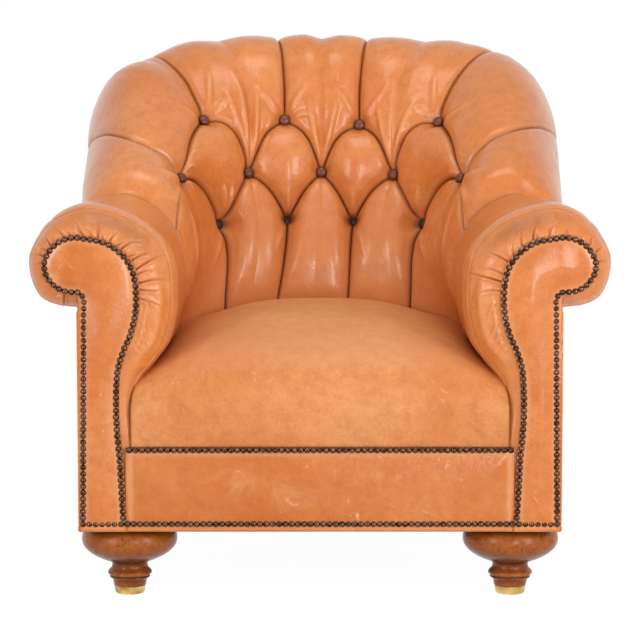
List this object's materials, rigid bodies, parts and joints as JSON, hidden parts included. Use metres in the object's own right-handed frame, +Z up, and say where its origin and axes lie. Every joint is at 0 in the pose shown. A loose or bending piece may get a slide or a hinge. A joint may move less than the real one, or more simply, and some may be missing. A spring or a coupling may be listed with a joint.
{
  "type": "armchair",
  "caption": "Deep-seated club armchair with scroll arms, a button-tufted barrel back, nail-trimmed leather and turned front feet.",
  "frame": {"origin": "on the floor, under the middle of the chair's width and depth", "axes": "+Z up, -Y to the front of the chair, +X to the right as the chair is seen from the front"},
  "size_m": [0.964, 0.9199, 0.9489],
  "materials": {
    "tan_leather": "full-grain caramel leather, waxed to a soft gloss, with scratches and pulled-up folds",
    "seat_leather": "the same leather worn paler and more matte on the seat",
    "button_leather": "dark brown leather-covered buttons",
    "turned_wood": "walnut-stained hardwood, waxed",
    "polished_brass": "polished brass with light wear",
    "antique_nail": "domed nails in an antique bronze finish",
    "frame_hardwood": "plain beech, sawn and planed",
    "spring_steel": "oiled spring steel",
    "jute": "woven jute",
    "stuffing": "hair, cotton and foam stuffing",
    "black_lining": "black lining cloth under the seat"
  },
  "bodies": {
    "root": {"arm_cover_left": "tan_leather", "arm_cover_right": "tan_leather", "arm_facing_left": "tan_leather", "arm_facing_right": "tan_leather", "arm_front_post_left": "frame_hardwood", "arm_front_post_right": "frame_hardwood", "arm_front_wrap_left": "tan_leather", "arm_front_wrap_right": "tan_leather", "arm_nails_left": "antique_nail", "arm_nails_right": "antique_nail", "arm_pad_left": "stuffing", "arm_pad_right": "stuffing", "arm_top_rail_left": "frame_hardwood", "arm_top_rail_right": "frame_hardwood", "arm_tuck_rail_left": "frame_hardwood", "arm_tuck_rail_right": "frame_hardwood", "back_hessian": "jute", "back_pad": "stuffing", "back_post_left": "frame_hardwood", "back_post_right": "frame_hardwood", "back_tuck_rail": "frame_hardwood", "back_webbing": "jute", "base_nails": "antique_nail", "button_twines": "jute", "corner_blocks": "frame_hardwood", "dust_cover": "black_lining", "ferrule_left": "polished_brass", "ferrule_right": "polished_brass", "foot_plates": "spring_steel", "front_border": "tan_leather", "front_foot_left": "turned_wood", "front_foot_right": "turned_wood", "front_rail": "frame_hardwood", "hanger_bolts": "spring_steel", "outside_arm_left": "tan_leather", "outside_arm_right": "tan_leather", "outside_back": "tan_leather", "rear_glides": "spring_steel", "rear_leg_left": "turned_wood", "rear_leg_right": "turned_wood", "rear_rail": "frame_hardwood", "seat_cover": "seat_leather", "seat_edge_roll": "stuffing", "seat_hessian": "jute", "seat_nails": "antique_nail", "seat_pad": "stuffing", "seat_springs": "spring_steel", "seat_webbing": "jute", "side_rail_left": "frame_hardwood", "side_rail_right": "frame_hardwood", "spring_edge_wire": "spring_steel", "tuft_buttons": "button_leather", "tufted_back_cover": "tan_leather", "wing_post_left": "frame_hardwood", "wing_post_right": "frame_hardwood", "wing_rail": "frame_hardwood"}
  },
  "joints": []
}
